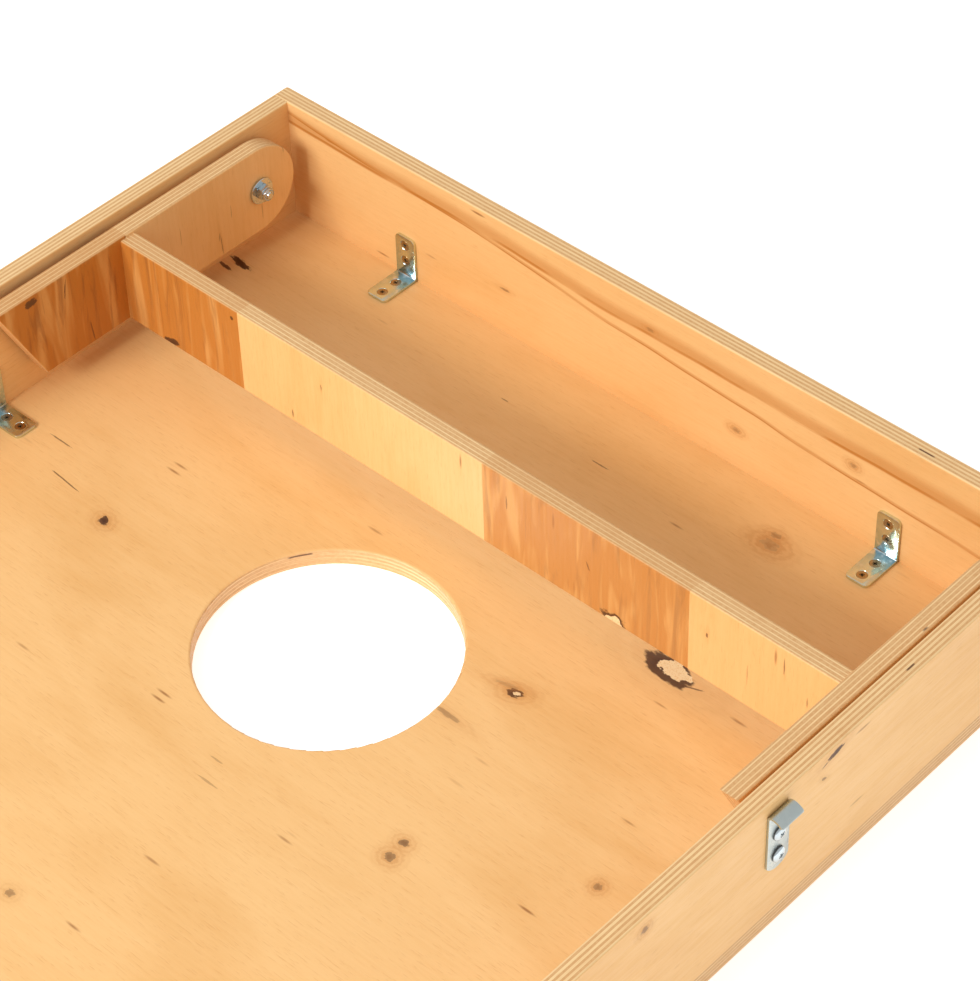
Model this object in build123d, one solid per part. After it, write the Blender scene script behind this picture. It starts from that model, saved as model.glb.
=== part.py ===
from build123d import *
import os
from math import radians, tan

# Cornhole board, lying on its playing face with the underside up and the legs folded in.
# Millimetres. The origin is the centre of the playing face, +Z points out of the underside,
# +Y points to the end with the bag hole, and left is -X.

# ---- driving dimensions --------------------------------------------------------------------

BOARD_LENGTH = 1200.0
BOARD_WIDTH = 600.0
DECK_THICKNESS = 12.0
RAIL_THICKNESS = 12.0
RAIL_HEIGHT = 86.0
LEG_THICKNESS = 12.0
CROSSBAR_THICKNESS = 12.0

# bag hole
HOLE_DIAMETER = 152.4
HOLE_SETBACK = 273.0            # hole centre from the outer face of the hole-end rail
HOLE_ROUNDING = 1.5

# eased edges of the plywood
CORNER_ROUNDING = 2.0           # the four upright outer corners
EDGE_ROUNDING = 1.0

# folding legs
PIVOT_SETBACK = 54.5            # bolt axis from the outer face of the hole-end rail
PIVOT_HEIGHT = 50.0             # bolt axis above the deck's inner face
LEG_WIDTH = 62.0
LEG_REACH = 211.0               # bolt axis to the tip of the foot, along the leg
LEG_END_OFFSET = 1.6            # centre of the rounded end from the bolt axis, towards the foot
FOOT_CUT = 26.0                 # degrees off square, so that the foot is flat on the ground
LEG_GAP = 4.0                   # side rail to leg
CROSSBAR_WIDTH = 60.0
CROSSBAR_SETBACK = 114.0        # crossbar's foot-side face from the bolt axis

# pivot hardware
BOLT_RADIUS = 3.0
BOLT_HEAD_RADIUS = 8.0
BOLT_HEAD_HEIGHT = 3.5
BOLT_NECK_DEPTH = 3.5           # square neck under the round head
BOLT_END = 1.2                  # bolt past the nut
WASHER_RADIUS = 9.0
WASHER_THICKNESS = 1.6
NUT_ACROSS_FLATS = 10.0
NUT_HEX_HEIGHT = 4.2
NUT_COLLAR_RADIUS = 4.4
NUT_COLLAR_HEIGHT = 1.8
SPACER_RADIUS = 8.0

# corner braces
BRACE_THICKNESS = 2.0
BRACE_WIDTH = 16.0
BRACE_DECK_LEG = 30.0
BRACE_RAIL_LEG = 32.0
BRACE_BEND = 3.0                # outer radius of the bend
BRACE_END_ROUNDING = 3.0
BRACE_HOLE_SETBACK = 6.5        # outer hole from the end of its leg
BRACE_HOLE_PITCH = 12.0
END_BRACE_INSET = 112.0         # braces of the end rails from the board's sides
SIDE_BRACE_SETBACK = 267.0      # outer braces of the side rails from the board's ends

# screws, with 90 degree countersunk heads unless they are domed
HEAD_RIM_SHARE = 0.25           # upright edge of a domed head, of its height
SCREW_TIP = 2.5
BRACE_SCREW_RADIUS = 1.75
BRACE_SCREW_HEAD = 3.4
SCREW_COVER = 2.0               # wood left in front of a short screw's tip
LONG_SCREW_RADIUS = 2.0
LONG_SCREW_HEAD = 4.0
LONG_SCREW_LENGTH = 40.0
CORNER_SCREW_INSET = 20.0       # from the deck and from the free edge of the rail
CROSSBAR_SCREW_INSET = 15.0     # from both edges of the crossbar

# latch keepers
KEEPER_THICKNESS = 1.5
KEEPER_WIDTH = 17.0
KEEPER_SETBACK = 253.5          # keeper centre from the board's end
KEEPER_TOP = 76.0               # start of the bend above the deck's inner face
KEEPER_BOTTOM = 38.5            # corners of the plate above the deck's inner face
KEEPER_SAG = 4.5                # depth of the rounded lower end
KEEPER_BEND = 2.2               # mean radius where the lip leaves the plate
KEEPER_LIP_RADIUS = 8.6
KEEPER_LIP_ANGLE = 50.0
KEEPER_SCREW_HEIGHTS = (44.0, 60.4)
KEEPER_SCREW_RADIUS = 2.0
KEEPER_HEAD_RADIUS = 4.75
KEEPER_HEAD_HEIGHT = 2.4

# fits
SCREW_CLEARANCE = 0.05
BOLT_FIT = 0.08                 # radial, bolt in the leg's bore
BORE_CLEARANCE = 0.2            # radial, bolt in rail, washer and spacer
RUNNING_GAP = 0.3               # leg to the washer and the spacer

# ---- derived positions ---------------------------------------------------------------------

HALF_LENGTH = BOARD_LENGTH / 2
HALF_WIDTH = BOARD_WIDTH / 2
RAIL_TOP = DECK_THICKNESS + RAIL_HEIGHT
SIDES = {"left": -1, "right": 1}

PIVOT_Y = HALF_LENGTH - PIVOT_SETBACK
PIVOT_Z = DECK_THICKNESS + PIVOT_HEIGHT
LEG_OUTER = HALF_WIDTH - RAIL_THICKNESS - LEG_GAP
LEG_INNER = LEG_OUTER - LEG_THICKNESS
LEG_BOTTOM = PIVOT_Z - LEG_WIDTH / 2
CROSSBAR_Y = PIVOT_Y - CROSSBAR_SETBACK + CROSSBAR_THICKNESS / 2
CROSSBAR_BOTTOM = LEG_BOTTOM

WASHER_X = LEG_INNER - RUNNING_GAP
NUT_X = WASHER_X - WASHER_THICKNESS
BOLT_TIP = NUT_X - NUT_HEX_HEIGHT - NUT_COLLAR_HEIGHT - BOLT_END

BRACE_SCREW_LENGTH = BRACE_THICKNESS + min(DECK_THICKNESS, RAIL_THICKNESS) - SCREW_COVER
KEEPER_SCREW_LENGTH = KEEPER_THICKNESS + RAIL_THICKNESS - SCREW_COVER


# ---- helpers -------------------------------------------------------------------------------

def block(x, y, z):
    """Box between two limits on each axis."""
    size = Box(x[1] - x[0], y[1] - y[0], z[1] - z[0], align=(Align.MIN, Align.MIN, Align.MIN))
    return Pos(x[0], y[0], z[0]) * size


def rod(radius, start, end):
    """Cylinder along X from start to end, on the X axis."""
    low = min(start, end)
    cylinder = Cylinder(radius, abs(end - start), align=(Align.CENTER, Align.CENTER, Align.MIN))
    return Pos(low, 0, 0) * Rot(0, 90, 0) * cylinder


def countersunk_screw(radius, head_radius, length, clearance=0.0):
    """Screw along -Z with the top of its head at the origin. Clearance makes its hole instead."""
    r = radius + clearance
    head = head_radius + clearance
    outline = Polyline(
        (0, 0),
        (head, 0),
        (r, r - head),
        (r, SCREW_TIP - length - clearance),
        (0, -length - clearance),
        close=True,
    )
    return revolve(Plane.XZ * make_face(outline), Axis.Z)


def dome_edge(radius, height):
    """Half the outline of a domed head in XY, from its crown down to its seat."""
    rim = height * HEAD_RIM_SHARE
    return TangentArc((0, height), (radius, rim), tangent=(1, 0)) + Line((radius, rim), (radius, 0))


def drill(part, holes):
    """Part with every hole cut out."""
    for hole in holes:
        part = part - hole
    return part


def sheet_metal(path, thickness, width):
    """Strip with its outer face along a path in XY, extruded about Z = 0."""
    outline = offset(path, amount=thickness, side=Side.RIGHT, closed=True)
    return extrude(make_face(outline), width / 2, both=True)


# ---- corner braces and their screws --------------------------------------------------------

def brace_seats():
    """Where each brace's corner sits on the deck, and how far it is turned about Z."""
    inner_x = HALF_WIDTH - RAIL_THICKNESS
    inner_y = HALF_LENGTH - RAIL_THICKNESS
    inset = HALF_WIDTH - END_BRACE_INSET
    setback = HALF_LENGTH - SIDE_BRACE_SETBACK
    seats = {}
    for side, sign in SIDES.items():
        seats[f"hole_end_brace_{side}"] = (sign * inset, inner_y, 180)
        seats[f"front_brace_{side}"] = (sign * inset, -inner_y, 0)
        for place, y in (("rear", setback), ("middle", 0.0), ("front", -setback)):
            seats[f"{side}_brace_{place}"] = (sign * inner_x, y, 90 * sign)
    return {name: Pos(x, y, DECK_THICKNESS) * Rot(0, 0, turn) for name, (x, y, turn) in seats.items()}


def brace_screw_places():
    """Screws of one brace: wall side first, then deck side. The screw axis points out of the wood."""
    wall = [BRACE_RAIL_LEG - BRACE_HOLE_SETBACK - k * BRACE_HOLE_PITCH for k in range(2)]
    deck = [BRACE_DECK_LEG - BRACE_HOLE_SETBACK - k * BRACE_HOLE_PITCH for k in range(2)]
    return [Pos(0, BRACE_THICKNESS, z) * Rot(-90, 0, 0) for z in wall] + [
        Pos(0, y, BRACE_THICKNESS) for y in deck
    ]


def brace():
    """Bent strip: one leg on the deck along +Y, the other up the rail along +Z."""
    deck_leg = Line((BRACE_DECK_LEG, 0), (BRACE_BEND, 0))
    bend = RadiusArc((BRACE_BEND, 0), (0, BRACE_BEND), BRACE_BEND)
    rail_leg = Line((0, BRACE_BEND), (0, BRACE_RAIL_LEG))
    strip = sheet_metal(deck_leg + bend + rail_leg, BRACE_THICKNESS, BRACE_WIDTH)
    ends = strip.edges().filter_by(Axis.Y).group_by(Axis.X)[-1]
    ends += strip.edges().filter_by(Axis.X).group_by(Axis.Y)[-1]
    strip = fillet(ends, BRACE_END_ROUNDING)
    strip = Rot(90, 90, 0) * strip
    return drill(strip, [place * brace_screw_hole() for place in brace_screw_places()])


def brace_screw():
    return countersunk_screw(BRACE_SCREW_RADIUS, BRACE_SCREW_HEAD, BRACE_SCREW_LENGTH)


def brace_screw_hole():
    return countersunk_screw(
        BRACE_SCREW_RADIUS, BRACE_SCREW_HEAD, BRACE_SCREW_LENGTH, SCREW_CLEARANCE
    )


def brace_holes(prefix, on_deck):
    """Screw holes of the braces whose names start with prefix, in the deck or in the rail."""
    places = brace_screw_places()[2:] if on_deck else brace_screw_places()[:2]
    seats = [seat for name, seat in brace_seats().items() if name.startswith(prefix)]
    return [seat * place * brace_screw_hole() for seat in seats for place in places]


# ---- corner screws -------------------------------------------------------------------------

def corner_screw_places(end):
    """Two screws at each corner of one end, +1 the hole end, into the middle of the side rails."""
    x = HALF_WIDTH - RAIL_THICKNESS / 2
    heights = (DECK_THICKNESS + CORNER_SCREW_INSET, RAIL_TOP - CORNER_SCREW_INSET)
    return [
        Pos(sign * x, end * HALF_LENGTH, z) * Rot(-90 * end, 0, 0)
        for sign in SIDES.values()
        for z in heights
    ]


def long_screw():
    return countersunk_screw(LONG_SCREW_RADIUS, LONG_SCREW_HEAD, LONG_SCREW_LENGTH)


def long_screw_hole():
    return countersunk_screw(
        LONG_SCREW_RADIUS, LONG_SCREW_HEAD, LONG_SCREW_LENGTH, SCREW_CLEARANCE
    )


# ---- latch keepers -------------------------------------------------------------------------

def keeper_seats(side):
    """The two keepers of one side: origin on the rail's outer face at deck height, X outwards."""
    sign = SIDES[side]
    y = HALF_LENGTH - KEEPER_SETBACK
    turn = 0 if sign > 0 else 180
    return {
        f"{side}_keeper_rear": Pos(sign * HALF_WIDTH, y, DECK_THICKNESS) * Rot(0, 0, turn),
        f"{side}_keeper_front": Pos(sign * HALF_WIDTH, -y, DECK_THICKNESS) * Rot(0, 0, turn),
    }


def keeper():
    """Plate against the rail with a round lower end, and a lip that curls outwards at the top."""
    plate = Line((0, KEEPER_BOTTOM - KEEPER_SAG), (0, KEEPER_TOP))
    bend_radius = KEEPER_BEND + KEEPER_THICKNESS / 2
    bend = JernArc(plate @ 1, plate % 1, bend_radius, -90)
    lip = JernArc(bend @ 1, bend % 1, KEEPER_LIP_RADIUS + KEEPER_THICKNESS / 2, -KEEPER_LIP_ANGLE)
    strip = sheet_metal(plate + bend + lip, KEEPER_THICKNESS, KEEPER_WIDTH)
    strip = Rot(90, 0, 0) * strip
    half = KEEPER_WIDTH / 2
    head_room = KEEPER_TOP + KEEPER_WIDTH
    lower_end = ThreePointArc(
        (-half, KEEPER_BOTTOM), (0, KEEPER_BOTTOM - KEEPER_SAG), (half, KEEPER_BOTTOM)
    )
    sides = Polyline((half, KEEPER_BOTTOM), (half, head_room), (-half, head_room), (-half, KEEPER_BOTTOM))
    outline = extrude(Plane.YZ * make_face(lower_end + sides), KEEPER_WIDTH, both=True)
    return drill(strip & outline, [place * keeper_screw_hole() for place in keeper_screw_places()])


def keeper_screw_places():
    """Screws of one keeper, with the screw axis along +X, out of the rail."""
    return [Pos(KEEPER_THICKNESS, 0, z) * Rot(0, 90, 0) for z in KEEPER_SCREW_HEIGHTS]


def keeper_screw():
    """Flat-bottomed round head on the plate, shank along -Z into the rail."""
    outline = Line((0, -KEEPER_SCREW_LENGTH), (0, KEEPER_HEAD_HEIGHT))
    outline += dome_edge(KEEPER_HEAD_RADIUS, KEEPER_HEAD_HEIGHT)
    outline += Polyline(
        (KEEPER_HEAD_RADIUS, 0),
        (KEEPER_SCREW_RADIUS, 0),
        (KEEPER_SCREW_RADIUS, SCREW_TIP - KEEPER_SCREW_LENGTH),
        (0, -KEEPER_SCREW_LENGTH),
    )
    return revolve(Plane.XZ * make_face(outline), Axis.Z)


def keeper_screw_hole():
    """Hole for the shank alone, a little wider and deeper."""
    radius = KEEPER_SCREW_RADIUS + SCREW_CLEARANCE
    depth = KEEPER_SCREW_LENGTH + SCREW_CLEARANCE
    outline = Polyline((0, 0), (radius, 0), (radius, SCREW_TIP - depth), (0, -depth), close=True)
    return revolve(Plane.XZ * make_face(outline), Axis.Z)


# ---- plywood box ---------------------------------------------------------------------------

def deck():
    sheet = block((-HALF_WIDTH, HALF_WIDTH), (-HALF_LENGTH, HALF_LENGTH), (0, DECK_THICKNESS))
    sheet = fillet(sheet.edges().filter_by(Axis.Z), CORNER_ROUNDING)
    sheet = fillet(sheet.faces().sort_by(Axis.Z)[0].edges(), EDGE_ROUNDING)
    hole_y = HALF_LENGTH - HOLE_SETBACK
    sheet -= Pos(0, hole_y, DECK_THICKNESS / 2) * Cylinder(HOLE_DIAMETER / 2, DECK_THICKNESS)
    rims = sheet.edges().filter_by(GeomType.CIRCLE).sort_by(lambda e: -e.radius)[:2]
    sheet = fillet(rims, HOLE_ROUNDING)
    return drill(sheet, brace_holes("", on_deck=True))


def end_rail(end):
    """Rail across one end, +1 the hole end, as long as the board is wide."""
    outer = end * HALF_LENGTH
    inner = end * (HALF_LENGTH - RAIL_THICKNESS)
    rail = block(
        (-HALF_WIDTH, HALF_WIDTH),
        (min(outer, inner), max(outer, inner)),
        (DECK_THICKNESS, RAIL_TOP),
    )
    outer_face = rail.faces().sort_by(Axis.Y)[-1 if end > 0 else 0]
    rail = fillet(outer_face.edges().filter_by(Axis.Z), CORNER_ROUNDING)
    rail = fillet(rail.faces().sort_by(Axis.Z)[-1].edges(), EDGE_ROUNDING)
    prefix = "hole_end_brace" if end > 0 else "front_brace"
    holes = brace_holes(prefix, on_deck=False)
    holes += [place * long_screw_hole() for place in corner_screw_places(end)]
    return drill(rail, holes)


def side_rail(side):
    """Rail along one side, between the end rails, with the bolt hole of the leg."""
    sign = SIDES[side]
    outer = sign * HALF_WIDTH
    inner = sign * (HALF_WIDTH - RAIL_THICKNESS)
    reach = HALF_LENGTH - RAIL_THICKNESS
    rail = block((min(outer, inner), max(outer, inner)), (-reach, reach), (DECK_THICKNESS, RAIL_TOP))
    top_edges = rail.faces().sort_by(Axis.Z)[-1].edges().filter_by(Axis.Y)
    rail = fillet(top_edges, EDGE_ROUNDING)
    bore = BOLT_RADIUS + BORE_CLEARANCE
    holes = [Pos(0, PIVOT_Y, PIVOT_Z) * rod(bore, outer, inner)]
    holes.append(bolt_neck(sign, BORE_CLEARANCE))
    holes += brace_holes(f"{side}_brace", on_deck=False)
    for seat in keeper_seats(side).values():
        holes += [seat * place * keeper_screw_hole() for place in keeper_screw_places()]
    for end in (1, -1):
        holes += [place * long_screw_hole() for place in corner_screw_places(end)]
    return drill(rail, holes)


# ---- leg frame -----------------------------------------------------------------------------

def leg(side):
    """Leg with a rounded end at the bolt and a slanted foot, longer on the edge away from the deck."""
    sign = SIDES[side]
    half = LEG_WIDTH / 2
    centre = -LEG_END_OFFSET
    foot_low = -LEG_REACH + LEG_WIDTH * tan(radians(FOOT_CUT))
    outline = Polyline((centre, half), (-LEG_REACH, half), (foot_low, -half), (centre, -half))
    outline += ThreePointArc((centre, -half), (centre + half, 0), (centre, half))
    blank = extrude(Plane.YZ * make_face(outline), LEG_THICKNESS / 2, both=True)
    blank = fillet(blank.faces().sort_by(Axis.X)[0].edges(), EDGE_ROUNDING)
    blank = fillet(blank.faces().sort_by(Axis.X)[-1].edges(), EDGE_ROUNDING)
    blank -= rod(BOLT_RADIUS + BOLT_FIT, -LEG_THICKNESS, LEG_THICKNESS)
    placed = Pos(sign * (LEG_INNER + LEG_THICKNESS / 2), PIVOT_Y, PIVOT_Z) * blank
    return drill(placed, [place * long_screw_hole() for place in crossbar_screw_places(side)])


def crossbar_screw_places(side):
    """Screws through one leg into the end of the crossbar."""
    sign = SIDES[side]
    heights = (
        CROSSBAR_BOTTOM + CROSSBAR_SCREW_INSET,
        CROSSBAR_BOTTOM + CROSSBAR_WIDTH - CROSSBAR_SCREW_INSET,
    )
    return [Pos(sign * LEG_OUTER, CROSSBAR_Y, z) * Rot(0, 90 * sign, 0) for z in heights]


def leg_crossbar():
    bar = block(
        (-LEG_INNER, LEG_INNER),
        (CROSSBAR_Y - CROSSBAR_THICKNESS / 2, CROSSBAR_Y + CROSSBAR_THICKNESS / 2),
        (CROSSBAR_BOTTOM, CROSSBAR_BOTTOM + CROSSBAR_WIDTH),
    )
    bar = fillet(bar.edges().filter_by(Axis.X), EDGE_ROUNDING)
    holes = [place * long_screw_hole() for side in SIDES for place in crossbar_screw_places(side)]
    return drill(bar, holes)


# ---- pivot hardware ------------------------------------------------------------------------

def bolt_neck(sign, clearance=0.0):
    """Square neck of the bolt inside the rail's outer face. Clearance makes its pocket instead."""
    half = BOLT_RADIUS + clearance
    outer = sign * HALF_WIDTH
    inner = sign * (HALF_WIDTH - BOLT_NECK_DEPTH - clearance)
    neck = block((min(outer, inner), max(outer, inner)), (-half, half), (-half, half))
    return Pos(0, PIVOT_Y, PIVOT_Z) * neck


def pivot_bolt(side):
    """Round-headed bolt from outside the rail, through spacer, leg, washer and nut."""
    sign = SIDES[side]
    dome = Line((0, 0), (0, BOLT_HEAD_HEIGHT)) + dome_edge(BOLT_HEAD_RADIUS, BOLT_HEAD_HEIGHT)
    dome += Line((BOLT_HEAD_RADIUS, 0), (0, 0))
    head = Rot(0, 90 * sign, 0) * revolve(Plane.XZ * make_face(dome), Axis.Z)
    head = Pos(sign * HALF_WIDTH, PIVOT_Y, PIVOT_Z) * head
    shank = Pos(0, PIVOT_Y, PIVOT_Z) * rod(BOLT_RADIUS, sign * BOLT_TIP, sign * HALF_WIDTH)
    return shank + head + bolt_neck(sign)


def ring(side, outer_radius, bore, start, end):
    """Ring round the bolt between two distances from the board's middle."""
    sign = SIDES[side]
    shape = rod(outer_radius, sign * start, sign * end) - rod(bore, sign * start, sign * end)
    return Pos(0, PIVOT_Y, PIVOT_Z) * shape


def pivot_spacer(side):
    bore = BOLT_RADIUS + BORE_CLEARANCE
    return ring(side, SPACER_RADIUS, bore, LEG_OUTER + RUNNING_GAP, LEG_OUTER + LEG_GAP)


def pivot_washer(side):
    return ring(side, WASHER_RADIUS, BOLT_RADIUS + BORE_CLEARANCE, NUT_X, WASHER_X)


def lock_nut(side):
    """Hexagon against the washer, with the round collar of its locking ring."""
    sign = SIDES[side]
    hexagon = RegularPolygon(NUT_ACROSS_FLATS / 2, 6, major_radius=False)
    hex_body = Rot(0, -90 * sign, 0) * extrude(hexagon, NUT_HEX_HEIGHT)
    hex_body = Pos(sign * NUT_X, PIVOT_Y, PIVOT_Z) * hex_body
    collar_x = NUT_X - NUT_HEX_HEIGHT
    bore = BOLT_RADIUS + SCREW_CLEARANCE
    collar = ring(side, NUT_COLLAR_RADIUS, bore, collar_x - NUT_COLLAR_HEIGHT, collar_x)
    hole = Pos(0, PIVOT_Y, PIVOT_Z) * rod(bore, sign * collar_x, sign * NUT_X)
    return (hex_body - hole) + collar


# ---- assembly ------------------------------------------------------------------------------

def build_nodes():
    nodes = {
        "deck": deck(),
        "hole_end_rail": end_rail(1),
        "front_rail": end_rail(-1),
        "leg_crossbar": leg_crossbar(),
    }
    for side in SIDES:
        nodes[f"{side}_rail"] = side_rail(side)
        nodes[f"{side}_leg"] = leg(side)
        nodes[f"{side}_pivot_bolt"] = pivot_bolt(side)
        nodes[f"{side}_pivot_spacer"] = pivot_spacer(side)
        nodes[f"{side}_pivot_washer"] = pivot_washer(side)
        nodes[f"{side}_lock_nut"] = lock_nut(side)
        screws = []
        for name, seat in keeper_seats(side).items():
            nodes[name] = seat * keeper()
            screws += [seat * place * keeper_screw() for place in keeper_screw_places()]
        nodes[f"{side}_keeper_screws"] = Compound(screws)
    for name, seat in brace_seats().items():
        nodes[name] = seat * brace()
    for group in ("hole_end", "front", "left", "right"):
        seats = [seat for name, seat in brace_seats().items() if name.startswith(f"{group}_brace")]
        screws = [seat * place * brace_screw() for seat in seats for place in brace_screw_places()]
        nodes[f"{group}_brace_screws"] = Compound(screws)
    for group, end in (("hole_end", 1), ("front", -1)):
        screws = [place * long_screw() for place in corner_screw_places(end)]
        nodes[f"{group}_corner_screws"] = Compound(screws)
    screws = [place * long_screw() for side in SIDES for place in crossbar_screw_places(side)]
    nodes["crossbar_screws"] = Compound(screws)
    return nodes


os.makedirs("parts", exist_ok=True)
for node_name, shape in build_nodes().items():
    export_step(shape, f"parts/{node_name}.step")
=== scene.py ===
from math import cos, pi, radians, sin, sqrt

import bmesh
import bpy
from bpy.props import FloatProperty, FloatVectorProperty, IntProperty, PointerProperty
from mathutils import Matrix, Vector


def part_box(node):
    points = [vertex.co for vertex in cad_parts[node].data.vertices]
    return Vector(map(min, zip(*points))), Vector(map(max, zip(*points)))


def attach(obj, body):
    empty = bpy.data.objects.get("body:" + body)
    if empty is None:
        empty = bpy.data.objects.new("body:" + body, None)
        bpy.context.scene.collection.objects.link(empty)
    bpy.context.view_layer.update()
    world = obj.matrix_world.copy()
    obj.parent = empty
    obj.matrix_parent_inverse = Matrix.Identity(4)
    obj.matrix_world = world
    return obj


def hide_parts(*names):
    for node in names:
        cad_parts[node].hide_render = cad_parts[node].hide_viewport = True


bl_info = {
    "name": "Cornhole Board",
    "version": (1, 0, 0),
    "blender": (4, 5, 0),
    "location": "View3D > Sidebar > Cornhole",
    "description": "Plywood, zinc hardware and studio for a folding cornhole board",
    "category": "Object",
}

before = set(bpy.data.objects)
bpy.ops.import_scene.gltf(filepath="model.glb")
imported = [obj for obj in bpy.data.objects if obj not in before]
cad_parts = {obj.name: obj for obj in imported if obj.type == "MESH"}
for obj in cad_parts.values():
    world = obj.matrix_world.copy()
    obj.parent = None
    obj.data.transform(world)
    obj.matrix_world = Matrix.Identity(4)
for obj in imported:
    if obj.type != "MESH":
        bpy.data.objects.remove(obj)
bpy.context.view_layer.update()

MM = 0.001
BOARD = "board"
SIDES = {"left": -1, "right": 1}


# ---- settings ------------------------------------------------------------------------------

def colour_setting(name, description, value):
    return FloatVectorProperty(
        name=name, description=description, subtype="COLOR", size=3, default=value
    )


class WoodSettings(bpy.types.PropertyGroup):
    plies: IntProperty(name="Plies", description="Veneers in a sheet", default=9, min=3)
    face: colour_setting("Face", "Pale face veneer", (0.87, 0.535, 0.225))
    figure: colour_setting(
        "Figure", "Darker growth figure of the face veneer", (0.74, 0.395, 0.125)
    )
    heart: colour_setting("Heartwood", "Reddish brown heartwood", (0.50, 0.172, 0.021))
    heart_streak: colour_setting(
        "Heartwood streaks", "Dark streaks in the heartwood", (0.27, 0.085, 0.013)
    )
    light_ply: colour_setting(
        "Light ply", "Edge of a veneer cut along its grain", (0.87, 0.60, 0.295)
    )
    dark_ply: colour_setting(
        "Dark ply", "Edge of a veneer cut across its grain", (0.64, 0.345, 0.135)
    )
    bark: colour_setting("Knot", "Dark wood of knots and cracks", (0.080, 0.025, 0.006))
    relief: FloatProperty(
        name="Relief", description="Depth of the open grain", default=0.00008,
        unit="LENGTH", subtype="DISTANCE",
    )


class MetalSettings(bpy.types.PropertyGroup):
    zinc: colour_setting("Zinc", "Bright zinc plating", (0.60, 0.67, 0.70))
    tarnish: colour_setting("Tarnish", "Duller patches in the plating", (0.42, 0.48, 0.50))
    yellow_zinc: colour_setting(
        "Yellow zinc", "Bronze-coloured plating of the wood screws", (0.38, 0.275, 0.14)
    )
    brace_zinc: colour_setting(
        "Brace zinc", "Slightly olive plating of the corner braces", (0.70, 0.74, 0.58)
    )
    keeper_zinc: colour_setting(
        "Keeper zinc", "Slightly green plating of the latch keepers", (0.56, 0.62, 0.60)
    )
    blue: colour_setting(
        "Blue tint", "Cool tint of the plating where the strip is bent", (0.40, 0.56, 0.62)
    )
    grime: colour_setting("Grime", "Dark oil and painted shade in the screw recesses and round the domed heads", (0.035, 0.022, 0.014))
    nylon: colour_setting("Nylon", "Rings of the lock nuts and the spacers", (0.78, 0.76, 0.70))
    edge_radius: FloatProperty(
        name="Edge radius", description="Softened edges of the sheet metal",
        default=0.25 * MM, unit="LENGTH", subtype="DISTANCE",
    )
    segments: IntProperty(
        name="Segments", description="Facets round a turned piece", default=40, min=12
    )


class StageSettings(bpy.types.PropertyGroup):
    lens: FloatProperty(
        name="Focal length", description="Lens of the camera, in millimetres", default=117.2
    )
    camera: FloatVectorProperty(
        name="Camera", description="Place of the camera", subtype="XYZ", size=3,
        default=(0.9159, -0.4886, 1.2904),
    )
    floor_colour: colour_setting("Floor", "Pale floor", (0.9, 0.9, 0.9))
    sky: FloatProperty(name="Sky", description="Strength of the surrounding light", default=0.69)
    key: FloatProperty(
        name="Key light", description="Power of the large front light", default=81.0,
        subtype="POWER", unit="POWER",
    )


SETTINGS = {
    "cornhole_wood": WoodSettings,
    "cornhole_metal": MetalSettings,
    "cornhole_stage": StageSettings,
}


# ---- shader helpers ------------------------------------------------------------------------

class Graph:
    """Adds nodes to one shader tree. An input given as a socket is linked, any other is set."""

    def __init__(self, tree):
        self.tree = tree

    def add(self, kind, inputs=None, **settings):
        node = self.tree.nodes.new(kind)
        for name, value in settings.items():
            setattr(node, name, value)
        for name, value in (inputs or {}).items():
            self.feed(node.inputs[name], value)
        return node

    def feed(self, socket, value):
        if isinstance(value, bpy.types.NodeSocket):
            self.tree.links.new(value, socket)
        elif socket.type == "RGBA":
            socket.default_value = (*value, 1.0)
        else:
            socket.default_value = value

    def math(self, operation, a, b=0.0, clamp=False):
        node = self.add("ShaderNodeMath", {0: a, 1: b}, operation=operation, use_clamp=clamp)
        return node.outputs[0]

    def times(self, a, b):
        return self.math("MULTIPLY", a, b)

    def plus(self, a, b, clamp=False):
        return self.math("ADD", a, b, clamp)

    def minus(self, a, b):
        return self.math("SUBTRACT", a, b)

    def vector(self, operation, a, b=(0.0, 0.0, 0.0)):
        node = self.add("ShaderNodeVectorMath", {0: a, 1: b}, operation=operation)
        return node.outputs["Value" if operation in ("LENGTH", "DOT_PRODUCT") else "Vector"]

    def step(self, value, low, high, start=0.0, end=1.0):
        """Smooth change from start to end while value goes from low to high."""
        node = self.add(
            "ShaderNodeMapRange",
            {"Value": value, "From Min": low, "From Max": high, "To Min": start, "To Max": end},
            interpolation_type="SMOOTHSTEP",
        )
        return node.outputs["Result"]

    def mix(self, factor, a, b, blend="MIX"):
        node = self.add("ShaderNodeMix", data_type="RGBA", blend_type=blend)
        self.feed(node.inputs[0], factor)
        self.feed(node.inputs[6], a)
        self.feed(node.inputs[7], b)
        return node.outputs[2]

    def blend(self, factor, a, b):
        """Number between a and b."""
        node = self.add("ShaderNodeMix", data_type="FLOAT")
        self.feed(node.inputs[0], factor)
        self.feed(node.inputs[2], a)
        self.feed(node.inputs[3], b)
        return node.outputs[0]

    def noise(self, vector, scale=1.0, detail=2.0, roughness=0.5, distortion=0.0):
        inputs = {
            "Vector": vector, "Scale": scale, "Detail": detail, "Roughness": roughness,
            "Distortion": distortion,
        }
        return self.add("ShaderNodeTexNoise", inputs).outputs["Fac"]

    def split(self, vector):
        return self.add("ShaderNodeSeparateXYZ", {0: vector}).outputs

    def join(self, x, y, z):
        return self.add("ShaderNodeCombineXYZ", {0: x, 1: y, 2: z}).outputs[0]


def new_group(name, inputs, outputs):
    """Empty shader group with named sockets, given as (name, kind, default)."""
    tree = bpy.data.node_groups.new(name, "ShaderNodeTree")
    for direction, sockets in (("INPUT", inputs), ("OUTPUT", outputs)):
        for label, kind, *default in sockets:
            socket = tree.interface.new_socket(
                label, in_out=direction, socket_type=f"NodeSocket{kind}"
            )
            if default:
                socket.default_value = default[0]
    graph = Graph(tree)
    return graph, graph.add("NodeGroupInput").outputs, graph.add("NodeGroupOutput").inputs


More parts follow.
